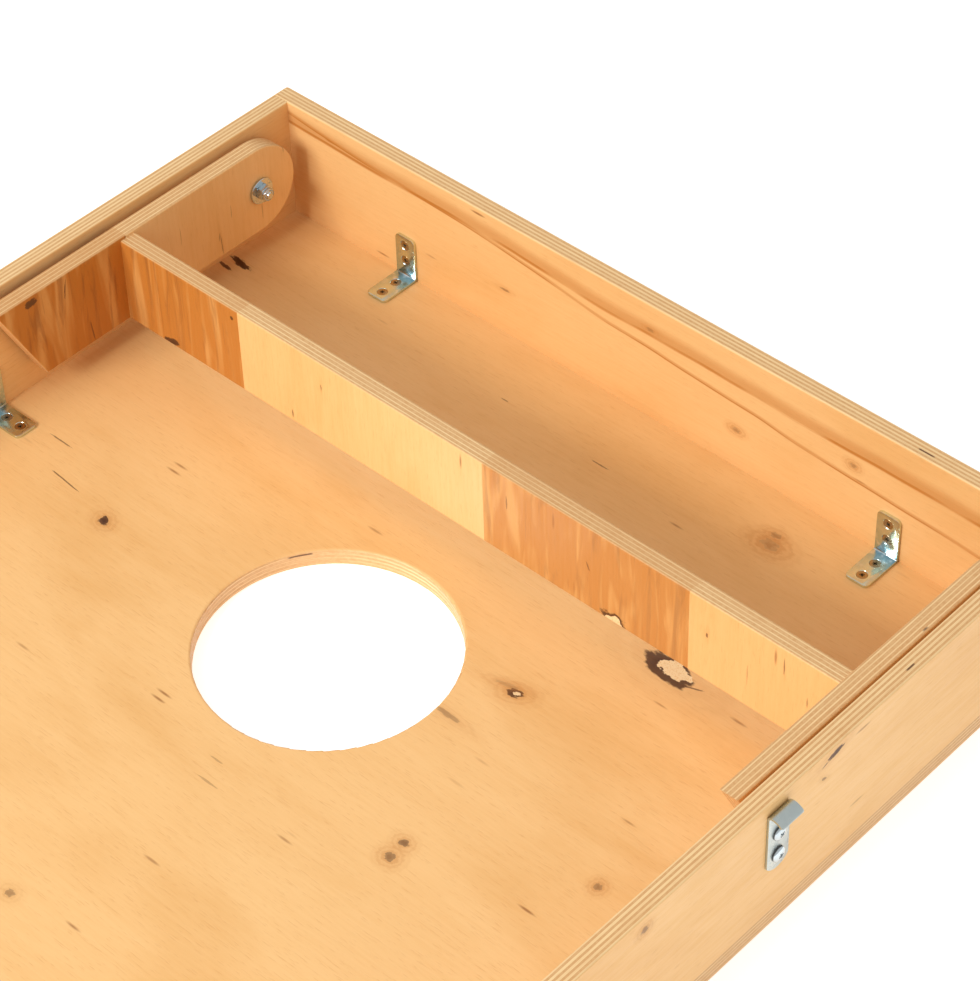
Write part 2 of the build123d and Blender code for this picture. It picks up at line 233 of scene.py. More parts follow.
def use_group(graph, group, inputs):
    node = graph.add("ShaderNodeGroup", node_tree=bpy.data.node_groups[group])
    for name, value in inputs.items():
        graph.feed(node.inputs[name], value)
    return node.outputs


def new_material(name):
    """Material with one Principled shader, and its graph."""
    material = bpy.data.materials.new(name)
    material.use_nodes = True
    material.node_tree.nodes.clear()
    graph = Graph(material.node_tree)
    shader = graph.add("ShaderNodeBsdfPrincipled")
    output = graph.add("ShaderNodeOutputMaterial")
    graph.feed(output.inputs["Surface"], shader.outputs["BSDF"])
    return material, graph, shader.inputs


def wire(graph, shader, colour, roughness, height, strength, distance):
    """Link a material's colour, roughness and relief."""
    relief = graph.add("ShaderNodeBump", {
        "Strength": strength, "Distance": distance, "Height": height,
    })
    graph.feed(shader["Base Color"], colour)
    graph.feed(shader["Roughness"], roughness)
    graph.feed(shader["Normal"], relief.outputs["Normal"])


def dress(piece, material):
    piece.data.materials.clear()
    piece.data.materials.append(material)


# ---- wood ----------------------------------------------------------------------------------

WIDE_PLY = 0.6              # share of a pair of plies taken by the one with lengthwise grain
OUTER_PLY = 0.5             # the same for the outer veneers, which are sanded thinner


def plywood_group(wood):
    """Plywood as a solid: face figure, plies with alternating grain, glue lines, flecks, knots."""
    graph, given, out = new_group(
        "Plywood",
        [
            ("Position", "Vector"), ("Normal", "Vector"), ("Thickness", "Float", 0.012),
            ("Seed", "Float", 0.0), ("Heartwood", "Float", 0.0), ("Knots", "Float", 1.0),
        ],
        [("Colour", "Color"), ("Roughness", "Float"), ("Height", "Float")],
    )
    along, across, depth = graph.split(given["Position"])
    normal = graph.split(graph.vector("ABSOLUTE", given["Normal"]))
    seed = given["Seed"]

    share = graph.math("DIVIDE", depth, given["Thickness"])
    pairs = graph.times(share, (wood.plies - 1) / 2 + 2 * OUTER_PLY - WIDE_PLY)
    pairs = graph.plus(pairs, WIDE_PLY - OUTER_PLY)
    part = graph.math("FRACT", pairs)
    crossed = graph.math("GREATER_THAN", part, WIDE_PLY)
    index = graph.plus(graph.times(graph.math("FLOOR", pairs), 2.0), crossed)
    facing = graph.step(normal[2], 0.55, 0.85)
    far_side = graph.math("GREATER_THAN", share, 0.5)

    # each ply has its own run of grain
    run = graph.blend(crossed, along, across)
    width = graph.blend(crossed, across, along)
    shift = graph.plus(graph.times(index, 3.71), seed)
    end_grain = graph.blend(crossed, normal[0], normal[1])

    def grain(run_scale, width_scale, depth_scale, **kwargs):
        vector = graph.join(
            graph.times(run, run_scale),
            graph.times(width, width_scale),
            graph.plus(graph.times(depth, depth_scale), shift),
        )
        return graph.noise(vector, **kwargs)

    contour = grain(2.4, 8.0, 0.0, detail=2.0, roughness=0.45, distortion=0.5)
    rings = graph.math("SINE", graph.times(contour, 44.0))
    rings = graph.step(rings, -0.6, 1.0)
    fibre = grain(30.0, 480.0, 480.0, detail=3.0, roughness=0.6)
    pores = graph.step(grain(120.0, 2100.0, 2100.0, detail=1.0), 0.62, 0.74)
    cloud = grain(7.0, 15.0, 0.0, detail=4.0, roughness=0.55, distortion=0.3)

    # face veneer
    figure = graph.times(rings, 0.10)
    figure = graph.plus(figure, graph.step(fibre, 0.3, 0.8, 0.0, 0.20))
    figure = graph.plus(figure, graph.step(cloud, 0.45, 0.72, 0.0, 0.42), clamp=True)
    face = graph.mix(figure, wood.face, wood.figure)
    tint = graph.step(grain(2.2, 3.4, 0.0, detail=1.0), 0.4, 0.65, 0.0, 0.5)
    face = graph.mix(tint, face, (1.0, 0.95, 0.88), "MULTIPLY")

    # heartwood with flame-like streaks
    flame = grain(11.0, 120.0, 120.0, detail=4.0, roughness=0.62, distortion=1.1)
    streak = graph.step(flame, 0.5, 0.72)
    pale_flame = graph.step(grain(9.0, 70.0, 0.0, detail=2.0, distortion=1.2), 0.45, 0.68)
    heart = graph.mix(graph.times(pale_flame, 0.6), wood.heart, wood.figure)
    heart = graph.mix(graph.times(streak, 0.62), heart, wood.heart_streak)
    face = graph.mix(given["Heartwood"], face, heart)

    # short dashes left by cambium scars
    spot_place = graph.join(
        graph.times(along, 24.0),
        graph.times(across, 150.0),
        graph.plus(shift, 4.3),
    )
    spots = graph.add(
        "ShaderNodeTexVoronoi", {"Vector": spot_place, "Scale": 1.0}, voronoi_dimensions="3D"
    )
    chance = graph.split(spots.outputs["Color"])
    dash = graph.step(spots.outputs["Distance"], 0.05, 0.19, 1.0, 0.0)
    dash = graph.times(dash, graph.step(chance[0], 0.88, 0.98, 0.0, 0.75))
    face = graph.mix(dash, face, wood.heart_streak)

    # scattered small knots
    knot_place = graph.join(
        graph.times(along, 4.4),
        graph.times(across, 6.2),
        graph.plus(seed, graph.times(far_side, 9.0)),
    )
    wobble = graph.noise(given["Position"], scale=260.0, detail=1.0)
    knots = graph.add(
        "ShaderNodeTexVoronoi", {"Vector": knot_place, "Scale": 1.0}, voronoi_dimensions="2D"
    )
    reach = graph.plus(knots.outputs["Distance"], graph.times(wobble, 0.012))
    chance = graph.split(knots.outputs["Color"])
    allowed = graph.times(graph.math("GREATER_THAN", chance[0], 0.62), given["Knots"])
    halo = graph.times(graph.step(reach, 0.02, 0.10, 0.5, 0.0), allowed)
    face = graph.mix(halo, face, wood.heart)
    core = graph.times(graph.step(reach, 0.018, 0.03, 0.9, 0.0), allowed)
    face = graph.mix(core, face, wood.bark)

    # edges: pale where a ply is cut along its grain, brown where it is cut across
    tone = graph.add("ShaderNodeTexWhiteNoise", {"W": shift}, noise_dimensions="1D")
    cut = graph.times(end_grain, 0.72)
    cut = graph.plus(cut, graph.times(tone.outputs["Value"], 0.18))
    cut = graph.plus(cut, graph.step(fibre, 0.35, 0.7, -0.05, 0.24), clamp=True)
    edge = graph.mix(cut, wood.light_ply, wood.dark_ply)
    edge = graph.mix(graph.times(given["Heartwood"], 0.25), edge, wood.heart)
    seam = graph.math("ABSOLUTE", graph.minus(part, WIDE_PLY))
    to_next_pair = graph.math("MINIMUM", part, graph.minus(1.0, part))
    seam = graph.math("MINIMUM", seam, to_next_pair)
    seam = graph.step(seam, 0.02, 0.07, 0.34, 0.0)
    edge = graph.mix(seam, edge, wood.heart)
    gap_place = graph.join(
        graph.times(run, 22.0), graph.times(width, 22.0), shift
    )
    gap = graph.noise(gap_place, detail=1.0)
    gap = graph.times(graph.step(gap, 0.755, 0.77), crossed)
    edge = graph.mix(graph.times(gap, 0.85), edge, wood.bark)

    colour = graph.mix(facing, edge, face)
    colour = graph.mix(graph.times(pores, 0.22), colour, wood.heart)
    roughness = graph.step(fibre, 0.3, 0.7, 0.40, 0.56)
    height = graph.minus(fibre, graph.times(pores, 0.8))
    height = graph.minus(height, graph.times(dash, 1.2))
    height = graph.minus(height, graph.times(core, 2.0))
    height = graph.minus(height, graph.times(gap, 3.0))
    graph.feed(out["Colour"], colour)
    graph.feed(out["Roughness"], roughness)
    graph.feed(out["Height"], height)


def mark_group(wood):
    """One knot, crack or patch laid over a colour; Patch 1 fills it with pale grainy wood."""
    graph, given, out = new_group(
        "Wood mark",
        [
            ("Colour", "Color"), ("Height", "Float"), ("Position", "Vector"),
            ("Centre", "Vector"), ("Size", "Vector"), ("Turn", "Float", 0.0),
            ("Dark", "Float", 1.0), ("Patch", "Float", 0.0), ("Halo", "Float", 0.0),
            ("Amount", "Float", 1.0),
        ],
        [("Colour", "Color"), ("Height", "Float")],
    )
    offset = graph.vector("SUBTRACT", given["Position"], given["Centre"])
    turned_offset = graph.add("ShaderNodeVectorRotate", {
        "Vector": graph.vector("MULTIPLY", offset, (1.0, 1.0, 0.0)), "Angle": given["Turn"],
    }, rotation_type="Z_AXIS")
    offset = graph.vector("DIVIDE", turned_offset.outputs[0], given["Size"])
    radius = graph.vector("LENGTH", offset)
    # a shift by the centre gives each mark an outline of its own
    shift = graph.vector("MULTIPLY", given["Centre"], (97.0, 97.0, 97.0))
    wobble = graph.noise(graph.vector("ADD", offset, shift), scale=1.3, detail=3.0, roughness=0.55)
    radius = graph.plus(radius, graph.step(wobble, 0.25, 0.75, -0.28, 0.28))
    core = graph.step(radius, 0.8, 1.05, 1.0, 0.0)
    middle = graph.step(radius, 0.1, 0.8, 1.0, 0.94)
    core = graph.times(graph.times(core, middle), given["Dark"])
    core = graph.times(core, given["Amount"])
    ring = graph.math("SINE", graph.times(radius, 6.5))
    halo = graph.step(radius, 0.9, 4.0, 0.5, 0.0)
    halo = graph.times(halo, graph.step(ring, -1.0, 1.0, 0.5, 1.0))
    halo = graph.times(halo, graph.times(given["Halo"], given["Amount"]))
    colour = graph.mix(halo, given["Colour"], wood.heart)
    colour = graph.mix(core, colour, wood.bark)
    patch = graph.times(given["Patch"], graph.step(radius, 0.8, 0.86, 1.0, 0.0))
    patch = graph.times(patch, given["Amount"])
    grit = graph.step(graph.noise(given["Position"], scale=1100.0), 0.45, 0.7, 0.0, 0.5)
    filling = graph.mix(grit, (0.90, 0.66, 0.36), wood.figure)
    colour = graph.mix(patch, colour, filling)
    sunk = graph.times(core, graph.minus(1.0, patch))
    height = graph.minus(given["Height"], graph.times(sunk, 1.6))
    graph.feed(out["Colour"], colour)
    graph.feed(out["Height"], height)


def streak_group(wood):
    """Dark mineral line that wanders along the grain, with a brown shade on its upper side."""
    graph, given, out = new_group(
        "Mineral line",
        [
            ("Colour", "Color"), ("Position", "Vector"), ("Level", "Float"),
            ("Slope", "Float"), ("Width", "Float", 0.001), ("Shade", "Float", 0.01),
            ("Amount", "Float", 1.0),
        ],
        [("Colour", "Color")],
    )
    along, across, _ = graph.split(given["Position"])
    wander = graph.noise(graph.join(along, given["Level"], 0.0), scale=6.0, detail=2.0)
    level = graph.plus(given["Level"], graph.times(along, given["Slope"]))
    level = graph.plus(level, graph.step(wander, 0.25, 0.75, -0.0028, 0.0028))
    above = graph.minus(across, level)
    line = graph.math("DIVIDE", graph.math("ABSOLUTE", above), given["Width"])
    line = graph.step(line, 0.2, 1.0, 0.9, 0.0)
    fade = graph.noise(graph.join(along, given["Level"], 3.0), scale=14.0)
    line = graph.times(line, graph.step(fade, 0.32, 0.55, 0.25, 1.0))
    shade = graph.math("DIVIDE", above, given["Shade"])
    lit = graph.math("GREATER_THAN", shade, 0.0)
    shade = graph.times(graph.step(shade, 0.3, 1.0, 0.5, 0.0), lit)
    amount = graph.math("MAXIMUM", line, shade)
    amount = graph.times(amount, given["Amount"])
    graph.feed(out["Colour"], graph.mix(amount, given["Colour"], wood.heart))


# axes of each panel: (grain, across, thickness) as indices of X, Y and Z
PANELS = {
    "deck": (0, 1, 2),
    "hole_end_rail": (0, 2, 1),
    "front_rail": (0, 2, 1),
    "left_rail": (1, 2, 0),
    "right_rail": (1, 2, 0),
    "left_leg": (2, 1, 0),
    "right_leg": (2, 1, 0),
    "leg_crossbar": (2, 0, 1),
}

# darker boards in a face veneer: (start, end, strength) across the grain, in millimetres
HEARTWOOD = {
    "left_leg": ((-1000, 436, 1.0),),
    "leg_crossbar": ((-1000, -172, 0.95), (22, 171.5, 0.78)),
}

# single marks on one face, in millimetres:
# (along, across, half length, half width, turn in degrees, dark, patch, halo)
MARKS = {
    "deck": (
        (-168, 312.4, 4.0, 3.2, 20, 1, 0, 0.8),
        (101.3, 369.7, 5.2, 3.4, -20, 0.97, 0, 0.8),
        (102.4, 370.0, 2.6, 1.7, -20, 0, 1, 0),
        (94.0, 371.5, 7.0, 1.6, -15, 0.25, 0, 0.6),
        (130.6, 241.2, 3.4, 3.0, 0, 0.62, 0, 0.9),
        (129.5, 252.9, 3.1, 2.5, 0, 0.7, 0, 0.8),
        (152.5, 439.2, 18.5, 9.4, 7, 1, 0, 0.3),
        (156.0, 440.4, 12.4, 6.6, 3, 0, 1, 0),
        (171.5, 436.2, 6.5, 0.6, -22, 0.7, 0, 0),
        (-277.0, 527.5, 9.5, 3.0, 8, 1, 0, 0.2),
        (-282.0, 519.0, 6.0, 1.5, 8, 0.9, 0, 0.2),
        (224.6, 297.8, 2.4, 2.6, 0, 0.5, 0, 0.9),
        (84.0, 334.0, 9.5, 1.8, 3, 0.45, 0, 0.5),
        (-238.0, 341.8, 10.0, 0.5, 0, 0.7, 0, 0),
        (-211.0, 320.3, 12.0, 0.6, 5, 0.75, 0, 0),
        (133.0, 550.5, 6.5, 4.0, 0, 0.3, 0, 1.0),
        (131.0, 558.5, 3.6, 2.2, 0, 0.35, 0, 0.6),
        (16.0, 536.8, 7.0, 0.5, 0, 0.6, 0, 0),
        (-64.0, 542.0, 3.0, 0.5, 0, 0.5, 0, 0),
        (14.0, 228.0, 5.0, 0.6, 0, 0.35, 0, 0),
        (22.0, 214.0, 8.0, 0.7, 0, 0.35, 0, 0),
        (0.5, 93.7, 3.0, 2.6, 0, 0.5, 0, 0.5),
        (-120.0, -90.0, 3.6, 3.0, 0, 0.8, 0, 0.9),
        (190.0, -330.0, 4.6, 3.6, 10, 0.75, 0, 0.9),
    ),
    "right_rail": (
        (392.6, 92.4, 6.6, 1.9, -10, 1, 0, 0.5),
        (384.0, 89.5, 2.6, 0.5, -20, 0.7, 0, 0.2),
        (383.5, 79.7, 2.2, 1.0, 30, 0.6, 0, 0.5),
        (245.9, 88.4, 2.6, 2.2, 0, 0.6, 0, 0.9),
        (-210.0, 50.0, 3.2, 2.6, 0, 0.8, 0, 0.9),
    ),
    "left_leg": (
        (88.0, 360.3, 3.0, 4.6, 0, 0.9, 0, 0.5),
        (40.0, 510.0, 8.0, 0.5, 4, 0.5, 0, 0.4),
        (47.0, 508.6, 3.0, 0.4, -10, 0.5, 0, 0),
        (82.0, 386.0, 7.0, 0.5, -10, 0.8, 0, 0),
        (40.0, 402.0, 9.0, 0.5, 6, 0.6, 0, 0),
        (85.0, 567.0, 7.0, 0.5, 0, 0.45, 0, 0),
        (47.0, 545.6, 9.0, 0.4, 0, 0.35, 0, 0),
        (60.0, 520.0, 6.0, 0.35, 0, 0.35, 0, 0),
        (66.0, 478.0, 7.0, 0.35, 0, 0.3, 0, 0),
    ),
    "leg_crossbar": (
        (33.5, -234.0, 2.6, 7.0, 10, 1, 0, 0.3),
        (31.0, 118.5, 8.2, 9.6, 0, 1, 0, 0.1),
        (30.4, 118.8, 7.0, 8.2, 0, 0, 1, 0),
        (84.0, -177.0, 1.6, 1.3, 0, 0.9, 0, 0.5),
        (37.0, -130.7, 3.0, 0.6, 0, 0.7, 0, 0.2),
        (72.3, -104.4, 2.6, 0.6, 0, 0.6, 0, 0.2),
        (72.0, 40.0, 5.0, 0.6, 0, 0.5, 0, 0.3),
        (62.0, 100.0, 3.4, 0.6, 22, 0.6, 0, 0.2),
        (66.0, 184.0, 2.0, 0.8, 0, 0.7, 0, 0.3),
        (78.0, 236.0, 6.0, 0.5, 0, 0.6, 0, 0.1),
        (62.0, 252.0, 4.0, 0.5, 0, 0.5, 0, 0.1),
        (55.0, 212.0, 7.0, 0.4, 0, 0.4, 0, 0),
    ),
    "hole_end_rail": (
        (-105.1, 46.2, 3.6, 1.0, 0, 0.5, 0, 0.5),
        (75.9, 40.5, 3.0, 1.8, 0, 0.35, 0, 1.0),
        (10.0, 79.4, 3.0, 1.4, 0, 0.3, 0, 0.6),
        (160.0, 64.0, 2.6, 1.8, 0, 0.35, 0, 1.0),
    ),
}

# face that carries a panel's marks: whether it is the one with the higher coordinate
MARKED_FACE_HIGH = {"deck", "right_rail", "left_leg"}

# mineral lines: (level, slope, width, shade), metres from the playing face
MINERAL_LINES = {
    "hole_end_rail": (
        (0.0768, -0.018, 0.0022, 0.012),
        (0.0665, -0.075, 0.0010, 0.003),
    ),
}


def face_side(graph, name, depth, thickness):
    """1 in the half of the sheet whose face carries the marks, 0 in the other."""
    operation = "GREATER_THAN" if name in MARKED_FACE_HIGH else "LESS_THAN"
    return graph.math(operation, depth, thickness / 2)


def heartwood_mask(graph, name, across):
    """Dark boards of the face veneer, with a slightly ragged joint."""
    mask = 0.0
    for start, end, strength in HEARTWOOD.get(name, ()):
        inside = graph.times(
            graph.math("GREATER_THAN", across, start * MM),
            graph.math("LESS_THAN", across, end * MM),
        )
        mask = graph.plus(graph.times(inside, strength), mask)
    return mask


def plywood_material(name, seed):
    """Plywood for one panel, with its grain laid along that panel."""
    material, graph, shader = new_material(f"{name}_plywood")
    grain, across_axis, depth_axis = PANELS[name]
    low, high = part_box(name)
    thickness = high[depth_axis] - low[depth_axis]
    place = graph.add("ShaderNodeTexCoord")
    axes = graph.split(place.outputs["Object"])
    slopes = graph.split(place.outputs["Normal"])
    depth = graph.minus(axes[depth_axis], low[depth_axis])
    position = graph.join(axes[grain], axes[across_axis], depth)
    normal = graph.join(slopes[grain], slopes[across_axis], slopes[depth_axis])
    wood = use_group(graph, "Plywood", {
        "Position": position, "Normal": normal, "Thickness": thickness, "Seed": seed,
        "Heartwood": heartwood_mask(graph, name, axes[across_axis]),
        "Knots": 0.0 if name in MARKS else 1.0,
    })
    colour, height = wood["Colour"], wood["Height"]
    side = face_side(graph, name, depth, thickness)
    for level, slope, width, shade in MINERAL_LINES.get(name, ()):
        colour = use_group(graph, "Mineral line", {
            "Colour": colour, "Position": position, "Level": level, "Slope": slope,
            "Width": width, "Shade": shade, "Amount": side,
        })["Colour"]
    for along, across, length, width, turn, dark, patch, halo in MARKS.get(name, ()):
        mark = use_group(graph, "Wood mark", {
            "Colour": colour, "Height": height, "Position": position,
            "Centre": (along * MM, across * MM, 0.0), "Size": (length * MM, width * MM, 1.0),
            "Turn": radians(turn), "Dark": float(dark), "Patch": float(patch),
            "Halo": float(halo), "Amount": side,
        })
        colour, height = mark["Colour"], mark["Height"]
    depth_of_grain = bpy.context.scene.cornhole_wood.relief
    wire(graph, shader, colour, wood["Roughness"], height, 0.6, depth_of_grain)
    shader["Specular IOR Level"].default_value = 0.42
    return material


class CORNHOLE_OT_plywood(bpy.types.Operator):
    """Give the deck, rails, legs and crossbar their plywood"""

    bl_idname = "cornhole.plywood"
    bl_label = "Plywood"

    def execute(self, context):
        wood = context.scene.cornhole_wood
        plywood_group(wood)
        mark_group(wood)
        streak_group(wood)
        for seed, name in enumerate(PANELS):
            dress(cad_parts[name], plywood_material(name, 1.7 + 5.3 * seed))
        return {"FINISHED"}


# ---- metal ---------------------------------------------------------------------------------

def zinc_group(metal):
    """Zinc plating: cloudy patches, rubbing marks, a cool tint with painted highlights near the
    bend, and dark oil with painted shade in the recesses and round domed heads.
    """
    graph, given, out = new_group(
        "Zinc plating",
        [
            ("Position", "Vector"), ("Tone", "Color"), ("Tint", "Float", 0.0),
            ("Grime", "Float", 0.0), ("Roughness", "Float", 0.2),
        ],
        [("Colour", "Color"), ("Roughness", "Float"), ("Metallic", "Float"), ("Height", "Float")],
    )
    cloud = graph.noise(given["Position"], scale=150.0, detail=3.0)
    rub = graph.noise(
        graph.vector("MULTIPLY", given["Position"], (900.0, 700.0, 160.0)), detail=2.0
    )
    dent = graph.noise(given["Position"], scale=230.0, detail=1.0)
    colour = graph.mix(graph.step(cloud, 0.35, 0.7, 0.0, 0.3), given["Tone"], metal.tarnish)
    colour = graph.mix(given["Tint"], colour, metal.blue)
    # painted highlight: pale glints scattered near the bend
    painted_glints = graph.times(graph.step(dent, 0.52, 0.68, 0.0, 0.6), given["Tint"])
    colour = graph.mix(painted_glints, colour, (0.90, 0.92, 0.93))
    # painted shade with dark oil: darkens the recesses and the rims of domed heads
    colour = graph.mix(given["Grime"], colour, metal.grime)
    roughness = graph.plus(given["Roughness"], graph.step(cloud, 0.3, 0.7, -0.03, 0.06))
    roughness = graph.plus(roughness, graph.step(rub, 0.3, 0.7, -0.02, 0.04))
    roughness = graph.blend(given["Grime"], roughness, 0.6)
    graph.feed(out["Colour"], colour)
    graph.feed(out["Roughness"], roughness)
    graph.feed(out["Metallic"], graph.blend(given["Grime"], 1.0, 0.35))
    height = graph.plus(graph.times(cloud, 0.3), graph.times(dent, given["Tint"]))
    graph.feed(out["Height"], height)


def zinc_material(name, roughness, tone=None):
    metal = bpy.context.scene.cornhole_metal
    material, graph, shader = new_material(name)
    place = graph.add("ShaderNodeTexCoord").outputs["Object"]
    grime = graph.add("ShaderNodeAttribute", attribute_name="grime").outputs["Fac"]
    tint = graph.add("ShaderNodeAttribute", attribute_name="bend").outputs["Fac"]
    zinc = use_group(graph, "Zinc plating", {
        "Position": place, "Tone": tuple(tone or metal.zinc), "Tint": tint, "Grime": grime,
        "Roughness": roughness,
    })
    wire(graph, shader, zinc["Colour"], zinc["Roughness"], zinc["Height"], 0.35, 0.12 * MM)
    graph.feed(shader["Metallic"], zinc["Metallic"])
    return material


def nylon_material(metal):
    material, graph, shader = new_material("nylon_ring")
    place = graph.add("ShaderNodeTexCoord").outputs["Object"]
    cloud = graph.noise(place, scale=600.0, detail=2.0)
    shade = tuple(0.82 * part for part in metal.nylon)
    colour = graph.mix(cloud, tuple(metal.nylon), shade)
    wire(graph, shader, colour, graph.step(cloud, 0.3, 0.7, 0.42, 0.55), cloud, 0.2, 0.02 * MM)
    return material


# ---- modelling helpers ---------------------------------------------------------------------

def clear_selection():
    bpy.ops.object.select_all(action="DESELECT")


def select_only(piece):
    clear_selection()
    piece.select_set(True)
    bpy.context.view_layer.objects.active = piece


def edit(piece):
    select_only(piece)
    bpy.ops.object.mode_set(mode="EDIT")
    bpy.ops.mesh.select_all(action="DESELECT")


def leave_edit():
    bpy.ops.object.mode_set(mode="OBJECT")


def pick(piece, kind, test):
    """Select the faces, edges or vertices of the piece in edit mode that pass a test."""
    bpy.ops.mesh.select_mode(type={"faces": "FACE", "edges": "EDGE", "verts": "VERT"}[kind])
    bpy.ops.mesh.select_all(action="DESELECT")
    mesh = bmesh.from_edit_mesh(piece.data)
    found = 0
    for element in getattr(mesh, kind):
        if test(element):
            element.select_set(True)
            found += 1
    mesh.select_flush_mode()
    bmesh.update_edit_mesh(piece.data)
    if not found:
        raise RuntimeError(f"nothing to select on {piece.name}")


def settle(piece):
    """Merge doubles, turn the faces outwards and put the object's place into its mesh."""
    edit(piece)
    bpy.ops.mesh.select_mode(type="VERT")
    bpy.ops.mesh.select_all(action="SELECT")
    bpy.ops.mesh.remove_doubles(threshold=0.001 * MM)
    bpy.ops.mesh.normals_make_consistent(inside=False)
    leave_edit()
    bpy.ops.object.transform_apply(location=True, rotation=True, scale=True)


def turned(name, outline, segments, ring=False):
    """Lathe work about Z: outline is (radius, height) in millimetres. A ring closes on itself."""
    clear_selection()
    radius, height = outline[0]
    bpy.ops.mesh.primitive_circle_add(
        vertices=segments, radius=radius * MM, location=(0, 0, height * MM),
        fill_type="NOTHING" if ring else "NGON",
    )
    piece = bpy.context.object
    piece.name = name
    bpy.ops.object.mode_set(mode="EDIT")
    bpy.ops.mesh.select_all(action="SELECT")
    for next_radius, next_height in outline[1:] + (outline[:1] if ring else []):
        rise = (next_height - height) * MM
        bpy.ops.mesh.extrude_region_move(TRANSFORM_OT_translate={"value": (0, 0, rise)})
        share = next_radius / radius
        bpy.ops.transform.resize(
            value=(share, share, 1), center_override=(0, 0, next_height * MM)
        )
        radius, height = next_radius, next_height
    leave_edit()
    settle(piece)
    return piece


def block(name, low, high):
    """Box between two corners in millimetres, ready to be shaped."""
    clear_selection()
    low, high = Vector(low) * MM, Vector(high) * MM
    bpy.ops.mesh.primitive_cube_add(size=1, location=(low + high) / 2)
    piece = bpy.context.object
    piece.name = name
    piece.scale = high - low
    bpy.ops.object.transform_apply(location=True, rotation=True, scale=True)
    return piece


def apply_modifier(piece, kind, **settings):
    select_only(piece)
    modifier = piece.modifiers.new(kind.title(), kind)
    for key, value in settings.items():
        setattr(modifier, key, value)
    bpy.ops.object.modifier_apply(modifier=modifier.name)


def cut(piece, tool, operation="DIFFERENCE"):
    apply_modifier(piece, "BOOLEAN", operation=operation, object=tool, solver="EXACT")
    bpy.data.objects.remove(tool)


def soften(piece, width, segments=2):
    apply_modifier(
        piece, "BEVEL", width=width, segments=segments, limit_method="ANGLE",
        angle_limit=radians(40),
    )


def smooth(piece, angle=35):
    select_only(piece)
    bpy.ops.object.shade_smooth_by_angle(angle=radians(angle))


def copy_at(piece, name, matrix):
    """Copy with its own mesh, moved inside that mesh."""
    twin = piece.copy()
    twin.data = piece.data.copy()
    twin.name = name
    twin.data.transform(matrix)
    bpy.context.scene.collection.objects.link(twin)
    return twin


def joined(name, pieces):
    clear_selection()
    for piece in pieces:
        piece.select_set(True)
    bpy.context.view_layer.objects.active = pieces[0]
    bpy.ops.object.join()
    pieces[0].name = name
    pieces[0].data.name = name
    return pieces[0]


def scrap(piece):
    bpy.data.objects.remove(piece)


def finish_piece(piece, body, slot, material, *nodes):
    dress(piece, material)
    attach(piece, body)
    if nodes:
        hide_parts(*nodes)


# ---- screws --------------------------------------------------------------------------------

# head radius, shank radius and length, in millimetres
BRACE_SCREW = (3.35, 1.7, 11.9)
LONG_SCREW = (3.95, 1.95, 39.8)
# head radius, head height, shank radius and length
KEEPER_SCREW = (4.7, 2.4, 1.95, 11.4)
BRACE_SCREW_SINK = 0.15
LONG_SCREW_SINK = 0.1
LONG_SCREW_HEAD = 4.0                  # half the box of a long screw's head


def cut_recess(piece, top, reach, wing, depth):
    """Cross recess with tapered wings and four fine marks between them, in millimetres."""
    for turn in (0, 90):
        tool = block("wing_tool", (-reach, -wing / 2, top - depth), (reach, wing / 2, top + 1))
        edit(tool)
        pick(tool, "faces", lambda face: face.normal.z < -0.9)
        bpy.ops.transform.resize(value=(0.42, 0.7, 1), center_override=(0, 0, 0))
        leave_edit()
        tool.data.transform(Matrix.Rotation(radians(turn), 4, "Z"))
        cut(piece, tool)
    core = turned("core_tool", [(wing * 0.55, top - depth * 1.15), (wing * 0.95, top + 1)], 16)
    cut(piece, core)
    for turn in (45, 135):
        tool = block("mark_tool", (-reach, -0.12, top - 0.25), (reach, 0.12, top + 1))
        tool.data.transform(Matrix.Rotation(radians(turn), 4, "Z"))
        cut(piece, tool)


def paint_grime_and_shade(piece, top, reach):
    """Mark the recess, darkened with oil and painted shade, in the piece's own attribute."""
    layer = piece.data.attributes.new("grime", "FLOAT", "POINT")
    for point, value in zip(piece.data.vertices, layer.data):
        inside = point.co.xy.length < reach * MM and point.co.z < (top - 0.3) * MM
        value.value = 1.0 if inside and point.co.z > (top - 4) * MM else 0.0


def countersunk_model(head, shank, length, segments):
    """Flat-headed wood screw with its head's face at the origin, pointing down, millimetres."""
    rim = 0.25
    neck = head - shank
    outline = [(head - 0.12, 0), (head, -rim * 0.4), (head, -rim), (shank * 1.02, -neck)]
    turn_height = 1.3
    height = -neck - 1.0
    while height > 2.6 - length:
        outline += [(shank * 0.72, height), (shank, height - turn_height * 0.5)]
        height -= turn_height
    outline += [(shank * 0.7, 2.2 - length), (0.15, -length)]
    piece = turned("screw_model", outline, segments)
    cut_recess(piece, 0, head * 0.56, head * 0.24, head * 0.6)
    paint_grime_and_shade(piece, 0, head * 0.62)
    smooth(piece, 32)
    return piece


def dome(head, rise, skirt, steps):
    """Outline of a rounded head down to its rim; skirt is the share of the rise left there."""
    angles = (pi / 2 * k / steps for k in range(1, steps + 1))
    return [(head * sin(a), rise * (skirt + (1 - skirt) * cos(a))) for a in angles]


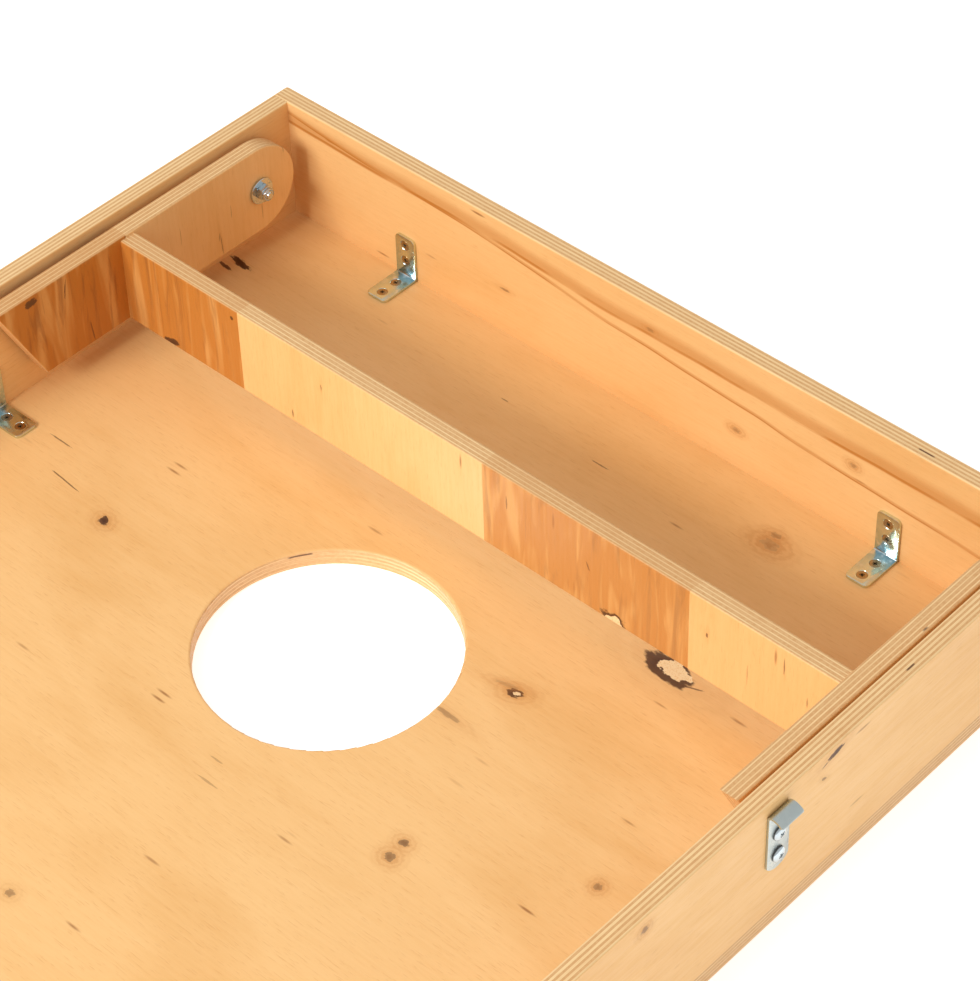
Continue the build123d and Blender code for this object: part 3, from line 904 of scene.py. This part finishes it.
def domed_model(head, rise, shank, length, segments):
    """Round-headed screw standing on the origin, millimetres."""
    outline = dome(head, rise, 0.22, 7)
    outline += [(head, 0.05), (head - 0.1, 0), (shank, 0)]
    height = -1.2
    while height > 2.4 - length:
        outline += [(shank * 0.74, height), (shank, height - 0.7)]
        height -= 1.4
    outline += [(shank * 0.6, 1.8 - length), (0.15, -length)]
    piece = turned("round_screw_model", outline, segments)
    cut_recess(piece, rise, head * 0.5, head * 0.2, head * 0.5)
    paint_grime_and_shade(piece, rise - 0.15, head * 0.54)
    # painted shade and dark reflection: the rim of the domed head is darkened as well
    for point, value in zip(piece.data.vertices, piece.data.attributes["grime"].data):
        skirt = point.co.z < rise * 0.34 * MM and point.co.xy.length > shank * MM
        value.value = max(value.value, 0.85 if skirt else 0.0)
    smooth(piece, 32)
    return piece


def brace_seats():
    """Corner of each brace on the deck and its turn about Z, read from the braces' boxes."""
    seats = {}
    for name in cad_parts:
        if "_brace_" not in name or name.endswith("screws"):
            continue
        low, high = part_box(name)
        middle = (low + high) / 2
        if name.startswith("hole_end"):
            corner, turn = (middle.x, high.y, low.z), 180
        elif name.startswith("front"):
            corner, turn = (middle.x, low.y, low.z), 0
        elif name.startswith("left"):
            corner, turn = (low.x, middle.y, low.z), -90
        else:
            corner, turn = (high.x, middle.y, low.z), 90
        seats[name] = Matrix.Translation(corner) @ Matrix.Rotation(radians(turn), 4, "Z")
    return seats


BRACE_THICKNESS = 2.0
BRACE_SCREW_PLACES = (6.5, 18.5)        # from each end of the brace
BRACE_DECK_LEG = 30.0
BRACE_RAIL_LEG = 32.0
BRACE_HALF_WIDTH = 8.0
BRACE_BEND = 3.0                       # outer radius of the bend
BRACE_CORNER = 3.2                     # rounding of the ends


def brace_screw_places():
    deck = [(0, BRACE_DECK_LEG - s, BRACE_THICKNESS, 0) for s in BRACE_SCREW_PLACES]
    rail = [(0, BRACE_THICKNESS, BRACE_RAIL_LEG - s, -90) for s in BRACE_SCREW_PLACES]
    return [
        Matrix.Translation(Vector(place[:3]) * MM) @ Matrix.Rotation(radians(place[3]), 4, "X")
        for place in deck + rail
    ]


class CORNHOLE_OT_brace_screws(bpy.types.Operator):
    """Countersunk screws that hold the corner braces"""

    bl_idname = "cornhole.brace_screws"
    bl_label = "Brace screws"

    def execute(self, context):
        metal = context.scene.cornhole_metal
        model = countersunk_model(*BRACE_SCREW, metal.segments)
        material = zinc_material("wood_screw_zinc", 0.22, metal.yellow_zinc)
        for group in ("hole_end", "front", "left", "right"):
            copies = []
            for name, seat in brace_seats().items():
                if not name.startswith(f"{group}_brace"):
                    continue
                for place in brace_screw_places():
                    spin = Matrix.Rotation(radians(31 + 47 * len(copies)), 4, "Z")
                    sunk = Matrix.Translation((0, 0, -BRACE_SCREW_SINK * MM))
                    copies.append(copy_at(model, "screw", seat @ place @ sunk @ spin))
            piece = joined(f"{group}_brace_screw_set", copies)
            finish_piece(piece, BOARD, "zinc", material, f"{group}_brace_screws")
        scrap(model)
        return {"FINISHED"}


class CORNHOLE_OT_long_screws(bpy.types.Operator):
    """Long screws of the box corners and of the crossbar"""

    bl_idname = "cornhole.long_screws"
    bl_label = "Long screws"

    def execute(self, context):
        metal = context.scene.cornhole_metal
        model = countersunk_model(*LONG_SCREW, metal.segments)
        material = bpy.data.materials["wood_screw_zinc"]
        for node, body in (
            ("hole_end_corner_screws", BOARD),
            ("front_corner_screws", BOARD),
            ("crossbar_screws", "leg_frame"),
        ):
            low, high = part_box(node)
            copies = []
            head = LONG_SCREW_HEAD * MM
            for side in (-1, 1):
                for z in (low.z + head, high.z - head):
                    if body == BOARD:
                        end = 1 if low.y > 0 else -1
                        x = side * (high.x - head)
                        place = Matrix.Translation((x, high.y if end > 0 else low.y, z))
                        place @= Matrix.Rotation(radians(-90 * end), 4, "X")
                    else:
                        place = Matrix.Translation((side * high.x, (low.y + high.y) / 2, z))
                        place @= Matrix.Rotation(radians(90 * side), 4, "Y")
                    spin = Matrix.Rotation(radians(20 + 53 * len(copies)), 4, "Z")
                    sunk = Matrix.Translation((0, 0, -LONG_SCREW_SINK * MM))
                    copies.append(copy_at(model, "screw", place @ sunk @ spin))
            piece = joined(node.replace("_screws", "_screw_set"), copies)
            finish_piece(piece, body, "zinc", material, node)
        scrap(model)
        return {"FINISHED"}


# ---- corner braces -------------------------------------------------------------------------

def brace_model(metal):
    """Bent strip with rounded ends and four countersunk holes, corner at the origin."""
    half, bend = BRACE_HALF_WIDTH, BRACE_BEND
    piece = block("brace_model", (-half, bend, 0), (half, BRACE_DECK_LEG, BRACE_THICKNESS))
    edit(piece)
    pick(piece, "faces", lambda face: face.normal.y < -0.9)
    bpy.ops.mesh.spin(
        steps=7, angle=pi / 2, center=(0, bend * MM, bend * MM), axis=(1, 0, 0)
    )
    bpy.ops.mesh.extrude_region_move(
        TRANSFORM_OT_translate={"value": (0, 0, (BRACE_RAIL_LEG - bend) * MM)}
    )
    leave_edit()
    settle(piece)
    edit(piece)

    def is_end_edge(edge):
        a, b = (vertex.co for vertex in edge.verts)
        at_deck_end = min(a.y, b.y) > (BRACE_DECK_LEG - 0.1) * MM
        at_rail_end = min(a.z, b.z) > (BRACE_RAIL_LEG - 0.1) * MM
        short = edge.calc_length() < 2.5 * MM
        return (at_deck_end or at_rail_end) and short and abs(a.x - b.x) < 0.01 * MM

    pick(piece, "edges", is_end_edge)
    bpy.ops.mesh.bevel(offset=BRACE_CORNER * MM, segments=6, profile=0.5, affect="EDGES")
    leave_edit()
    soften(piece, metal.edge_radius)
    for place in brace_screw_places():
        tool = turned("sink_tool", [(1.8, -2.6), (1.8, -1.75), (3.62, 0.05), (3.62, 1)], 32)
        tool.data.transform(place)
        cut(piece, tool)
    paint_bend(piece)
    smooth(piece, 35)
    return piece


def paint_bend(piece):
    """Mark how near each point is to the bend, where the plating turns bluish and carries painted
    highlights.
    """
    layer = piece.data.attributes.new("bend", "FLOAT", "POINT")
    for point, value in zip(piece.data.vertices, layer.data):
        away = max(point.co.y, point.co.z) / MM
        value.value = min(1.0, max(0.0, (16.0 - away) / 9.0))


class CORNHOLE_OT_braces(bpy.types.Operator):
    """Zinc corner braces between the rails and the deck"""

    bl_idname = "cornhole.braces"
    bl_label = "Corner braces"

    def execute(self, context):
        metal = context.scene.cornhole_metal
        zinc_group(metal)
        model = brace_model(metal)
        material = zinc_material("brace_zinc", 0.17, metal.brace_zinc)
        for name, seat in brace_seats().items():
            piece = copy_at(model, f"{name}_plate", seat)
            finish_piece(piece, BOARD, "zinc", material, name)
        scrap(model)
        return {"FINISHED"}


# ---- latch keepers -------------------------------------------------------------------------

KEEPER_THICKNESS = 1.5
KEEPER_WIDTH = 17.0
KEEPER_BOTTOM = 38.5
KEEPER_SAG = 4.5
KEEPER_TOP = 76.0
KEEPER_BEND = 2.95
KEEPER_LIP = 9.35
KEEPER_LIP_ANGLE = 50.0
KEEPER_SCREW_HEIGHTS = (44.0, 60.4)


def keeper_seats():
    """Origin of each keeper on the rail's outer face at deck height, X pointing outwards."""
    seats = {}
    deck_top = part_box("deck")[1].z
    for side, sign in SIDES.items():
        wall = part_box(f"{side}_rail")[1 if sign > 0 else 0].x
        for end in ("rear", "front"):
            low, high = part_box(f"{side}_keeper_{end}")
            turn = Matrix.Rotation(0 if sign > 0 else pi, 4, "Z")
            place = Matrix.Translation((wall, (low.y + high.y) / 2, deck_top))
            seats[f"{side}_keeper_{end}"] = place @ turn
    return seats


def keeper_model(metal):
    """Flat plate with a rounded foot, whose upper end curls outwards into a lip."""
    columns = 12
    clear_selection()
    bpy.ops.mesh.primitive_grid_add(
        x_subdivisions=1, y_subdivisions=columns, size=1,
        location=(KEEPER_THICKNESS / 2 * MM, 0, KEEPER_BOTTOM * MM),
    )
    piece = bpy.context.object
    piece.name = "keeper_model"
    piece.scale = (KEEPER_THICKNESS * MM, KEEPER_WIDTH * MM, 1)
    bpy.ops.object.transform_apply(location=True, rotation=True, scale=True)
    edit(piece)
    bpy.ops.mesh.select_all(action="SELECT")
    rise = (KEEPER_TOP - KEEPER_BOTTOM) * MM
    bpy.ops.mesh.extrude_region_move(TRANSFORM_OT_translate={"value": (0, 0, rise)})
    bend_centre = (KEEPER_BEND * MM, 0, KEEPER_TOP * MM)
    bpy.ops.mesh.spin(steps=7, angle=pi / 2, center=bend_centre, axis=(0, -1, 0))
    lip_centre = (KEEPER_BEND * MM, 0, (KEEPER_TOP + KEEPER_BEND - KEEPER_LIP) * MM)
    bpy.ops.mesh.spin(
        steps=7, angle=radians(KEEPER_LIP_ANGLE), center=lip_centre, axis=(0, -1, 0)
    )
    radius = ((KEEPER_WIDTH / 2) ** 2 + KEEPER_SAG**2) / (2 * KEEPER_SAG)
    for column in range(1, columns):
        y = KEEPER_WIDTH * (column / columns - 0.5)
        drop = sqrt(radius**2 - y**2) - (radius - KEEPER_SAG)

        def at_foot(vertex, y=y):
            near = abs(vertex.co.y - y * MM) < 0.01 * MM
            return near and abs(vertex.co.z - KEEPER_BOTTOM * MM) < 0.01 * MM

        pick(piece, "verts", at_foot)
        bpy.ops.transform.translate(value=(0, 0, -drop * MM))
    leave_edit()
    settle(piece)
    edit(piece)
    reach = max(vertex.co.x for vertex in piece.data.vertices)

    def is_lip_corner(edge):
        a, b = (vertex.co for vertex in edge.verts)
        outer = min(a.x, b.x) > reach - 1.4 * MM and max(a.x, b.x) > reach - 0.01 * MM
        return outer and min(abs(a.y), abs(b.y)) > (KEEPER_WIDTH / 2 - 0.01) * MM and (
            abs(edge.calc_length() - KEEPER_THICKNESS * MM) < 0.1 * MM
        )

    pick(piece, "edges", is_lip_corner)
    bpy.ops.mesh.bevel(offset=1.1 * MM, segments=4, profile=0.5, affect="EDGES")
    leave_edit()
    soften(piece, metal.edge_radius)
    smooth(piece, 35)
    return piece


class CORNHOLE_OT_keepers(bpy.types.Operator):
    """Zinc latch keepers on the outer faces of the side rails, with their screws"""

    bl_idname = "cornhole.keepers"
    bl_label = "Latch keepers"

    def execute(self, context):
        metal = context.scene.cornhole_metal
        plate = keeper_model(metal)
        screw = domed_model(*KEEPER_SCREW, metal.segments)
        plate_zinc = zinc_material("keeper_zinc", 0.28, metal.keeper_zinc)
        screw_zinc = zinc_material("keeper_screw_zinc", 0.16)
        for side in SIDES:
            screws = []
            for name, seat in keeper_seats().items():
                if not name.startswith(side):
                    continue
                piece = copy_at(plate, f"{name}_plate", seat)
                finish_piece(piece, BOARD, "zinc", plate_zinc, name)
                for height in KEEPER_SCREW_HEIGHTS:
                    place = Matrix.Translation(Vector((KEEPER_THICKNESS, 0, height)) * MM)
                    place @= Matrix.Rotation(pi / 2, 4, "Y")
                    place @= Matrix.Rotation(radians(18 + 29 * len(screws)), 4, "Z")
                    screws.append(copy_at(screw, "screw", seat @ place))
            piece = joined(f"{side}_keeper_screw_set", screws)
            finish_piece(piece, BOARD, "zinc", screw_zinc, f"{side}_keeper_screws")
        scrap(plate)
        scrap(screw)
        return {"FINISHED"}


# ---- pivots --------------------------------------------------------------------------------

# lock nut: width across flats, height of the hexagon, radius and height of the collar
LOCK_NUT = (10.0, 4.2, 4.38, 1.8)


def outward(side, x, y, z):
    """Matrix that stands a turned piece on (x, y, z) with its Z axis pointing out of the board."""
    return Matrix.Translation((x, y, z)) @ Matrix.Rotation(pi / 2 * SIDES[side], 4, "Y")


def bolt_model(length, segments):
    """Round-headed bolt: head's seat at the origin, threaded end at minus length, millimetres."""
    head, rise, shank, core, pitch = 8.0, 3.45, 2.98, 2.5, 1.0
    outline = dome(head, rise, 0.18, 8) + [(head - 0.05, 0.1), (head - 0.3, 0), (shank, 0)]
    thread_start = length - 14.0
    outline.append((shank, -thread_start))
    height = -thread_start
    while height > -(length - 1.3):
        outline += [(core, height - pitch * 0.45), (shank, height - pitch * 0.95)]
        height -= pitch
    outline += [(core, height - 0.1), (core - 0.35, -length)]
    bolt = turned("bolt_model", outline, segments)
    neck = block("neck", (-3, -3, -3.5), (3, 3, 0.05))
    soften(neck, 0.3 * MM)
    bolt = joined("bolt_model", [bolt, neck])
    smooth(bolt, 38)
    return bolt


def nut_model(across_flats, height, collar_radius, collar_height, segments):
    """Lock nut: hexagon from the origin upwards with chamfered corners and a rolled collar."""
    clear_selection()
    corner = across_flats / 2 / cos(pi / 6)
    bpy.ops.mesh.primitive_cylinder_add(
        vertices=6, radius=corner * MM, depth=height * MM, location=(0, 0, height / 2 * MM)
    )
    nut = bpy.context.object
    nut.name = "nut_model"
    settle(nut)
    flat = across_flats / 2
    chamfer = turned("chamfer_tool", [
        (flat - 0.1, -0.01), (corner + 0.05, 0.55), (corner + 0.05, height - 0.55),
        (flat - 0.1, height + 0.01),
    ], segments)
    cut(nut, chamfer, "INTERSECT")
    bore = turned("bore_tool", [(3.02, -1), (3.02, height + 1)], segments)
    cut(nut, bore)
    top = height + collar_height
    roll = [(collar_radius - 0.45 + 0.45 * sin(a), top - 0.45 + 0.45 * cos(a)) for a in
            (pi / 2 * k / 4 for k in range(5))]
    collar = turned(
        "collar", [(3.6, height - 0.2), (3.6, top - 0.5), (3.75, top)] + roll
        + [(collar_radius, height - 0.2)], segments, ring=True,
    )
    nut = joined("nut_model", [nut, collar])
    smooth(nut, 30)
    return nut


class CORNHOLE_OT_pivots(bpy.types.Operator):
    """Bolts, washers, spacers and lock nuts of the folding legs"""

    bl_idname = "cornhole.pivots"
    bl_label = "Leg pivots"

    def execute(self, context):
        metal = context.scene.cornhole_metal
        bright = zinc_material("bolt_zinc", 0.2)
        nylon = nylon_material(metal)
        for side, sign in SIDES.items():
            bolt_low, bolt_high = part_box(f"{side}_pivot_bolt")
            middle = (bolt_low + bolt_high) / 2
            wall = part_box(f"{side}_rail")[1 if sign > 0 else 0].x
            tip = bolt_low.x if sign > 0 else bolt_high.x
            bolt = bolt_model(abs(wall - tip) / MM, metal.segments)
            bolt.data.transform(outward(side, wall, middle.y, middle.z))
            bolt.name = f"{side}_bolt"
            finish_piece(bolt, BOARD, "zinc", bright, f"{side}_pivot_bolt")

            low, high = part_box(f"{side}_pivot_washer")
            thick = (high.x - low.x) / MM
            washer = turned(f"{side}_washer", [
                (3.25, 0.15), (3.4, 0), (8.7, 0), (8.95, 0.25), (8.95, thick - 0.35),
                (8.6, thick), (3.4, thick), (3.25, thick - 0.15),
            ], metal.segments + 8, ring=True)
            washer.data.transform(outward(side, low.x if sign > 0 else high.x, middle.y, middle.z))
            smooth(washer, 30)
            finish_piece(washer, BOARD, "zinc", bright, f"{side}_pivot_washer")

            low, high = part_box(f"{side}_lock_nut")
            seat = high.x if sign > 0 else low.x
            inward = Matrix.Rotation(pi, 4, "X") @ Matrix.Rotation(radians(12), 4, "Z")
            nut = nut_model(*LOCK_NUT, metal.segments)
            nut.data.transform(outward(side, seat, middle.y, middle.z) @ inward)
            nut.name = f"{side}_nut"
            finish_piece(nut, BOARD, "zinc", bright, f"{side}_lock_nut")
            insert = turned(f"{side}_nut_insert", [
                (3.02, 4.3), (3.02, 5.6), (3.15, 5.72), (3.5, 5.72), (3.62, 5.55), (3.62, 4.3),
            ], metal.segments, ring=True)
            insert.data.transform(outward(side, seat, middle.y, middle.z) @ inward)
            smooth(insert, 30)
            finish_piece(insert, BOARD, "nylon", nylon)
            dress(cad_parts[f"{side}_pivot_spacer"], nylon)
        return {"FINISHED"}


# ---- stage ---------------------------------------------------------------------------------

FLOOR_SIZE = 14
FLOOR_LEVEL = -0.0004                  # just under the playing face
FLOOR_GLOW = 0.55
KEY_PLACE = (-0.45, -2.3, 1.85)
KEY_TARGET = (0.0, 0.3, 0)
KEY_SIZE = (1.3, 0.9)
CAMERA_DIRECTION = (-0.5032, 0.5213, -0.68923)
CAMERA_UP = (-0.45481, 0.51842, 0.72415)


def look_along(direction, up):
    """Rotation of a camera or light that faces along direction."""
    back = -Vector(direction).normalized()
    right = Vector(up).cross(back).normalized()
    return Matrix((right, back.cross(right), back)).transposed().to_euler()


def area_light(name, place, target, size, power):
    clear_selection()
    place, target = Vector(place), Vector(target)
    bpy.ops.object.light_add(
        type="AREA", location=place, rotation=look_along(target - place, (0, 0, 1))
    )
    light = bpy.context.object
    light.name = name
    light.data.shape = "RECTANGLE"
    light.data.size, light.data.size_y = size
    light.data.energy = power


class CORNHOLE_OT_stage(bpy.types.Operator):
    """Pale floor, soft studio light and the camera"""

    bl_idname = "cornhole.stage"
    bl_label = "Studio"

    def execute(self, context):
        stage = context.scene.cornhole_stage
        clear_selection()
        bpy.ops.mesh.primitive_plane_add(size=FLOOR_SIZE, location=(0, 0, FLOOR_LEVEL))
        floor = context.object
        floor.name = "studio_floor"
        bpy.ops.object.transform_apply(location=True)
        material, graph, shader = new_material("pale_floor")
        place = graph.add("ShaderNodeTexCoord").outputs["Object"]
        cloud = graph.noise(place, scale=3.0)
        graph.feed(shader["Base Color"], graph.mix(cloud, stage.floor_colour, (0.88, 0.88, 0.88)))
        shader["Roughness"].default_value = 0.8
        shader["Emission Color"].default_value = (1, 1, 1, 1)
        shader["Emission Strength"].default_value = FLOOR_GLOW
        material.cycles.emission_sampling = "NONE"
        dress(floor, material)

        world = bpy.data.worlds.new("studio")
        world.use_nodes = True
        background = world.node_tree.nodes["Background"]
        background.inputs["Color"].default_value = (1, 1, 1, 1)
        background.inputs["Strength"].default_value = stage.sky
        context.scene.world = world
        area_light("key", KEY_PLACE, KEY_TARGET, KEY_SIZE, stage.key)

        clear_selection()
        bpy.ops.object.camera_add(
            location=stage.camera,
            rotation=look_along(CAMERA_DIRECTION, CAMERA_UP),
        )
        camera = context.object
        camera.name = "camera"
        camera.data.sensor_fit = "HORIZONTAL"
        camera.data.sensor_width = 36.0
        camera.data.lens = stage.lens
        camera.data.clip_start = 0.01
        context.scene.camera = camera
        context.scene.view_settings.view_transform = "Standard"
        context.scene.view_settings.look = "None"
        return {"FINISHED"}


# ---- panel and registration ----------------------------------------------------------------

OPERATORS = (
    CORNHOLE_OT_plywood,
    CORNHOLE_OT_braces,
    CORNHOLE_OT_brace_screws,
    CORNHOLE_OT_long_screws,
    CORNHOLE_OT_keepers,
    CORNHOLE_OT_pivots,
    CORNHOLE_OT_stage,
)


class CORNHOLE_PT_panel(bpy.types.Panel):
    """Settings and steps of the cornhole board"""

    bl_label = "Cornhole board"
    bl_space_type = "VIEW_3D"
    bl_region_type = "UI"
    bl_category = "Cornhole"

    def draw(self, context):
        layout = self.layout
        for owner, kind in SETTINGS.items():
            box = layout.box()
            settings = getattr(context.scene, owner)
            for name in kind.__annotations__:
                box.prop(settings, name)
        for operator in OPERATORS:
            layout.operator(operator.bl_idname)


CLASSES = (*SETTINGS.values(), *OPERATORS, CORNHOLE_PT_panel)


def register():
    for cls in CLASSES:
        bpy.utils.register_class(cls)
    for owner, kind in SETTINGS.items():
        setattr(bpy.types.Scene, owner, PointerProperty(type=kind))


def unregister():
    for owner in SETTINGS:
        delattr(bpy.types.Scene, owner)
    for cls in reversed(CLASSES):
        bpy.utils.unregister_class(cls)


def main():
    register()
    for operator in OPERATORS:
        group, name = operator.bl_idname.split(".")
        getattr(getattr(bpy.ops, group), name)()


if __name__ == "__main__":
    main()
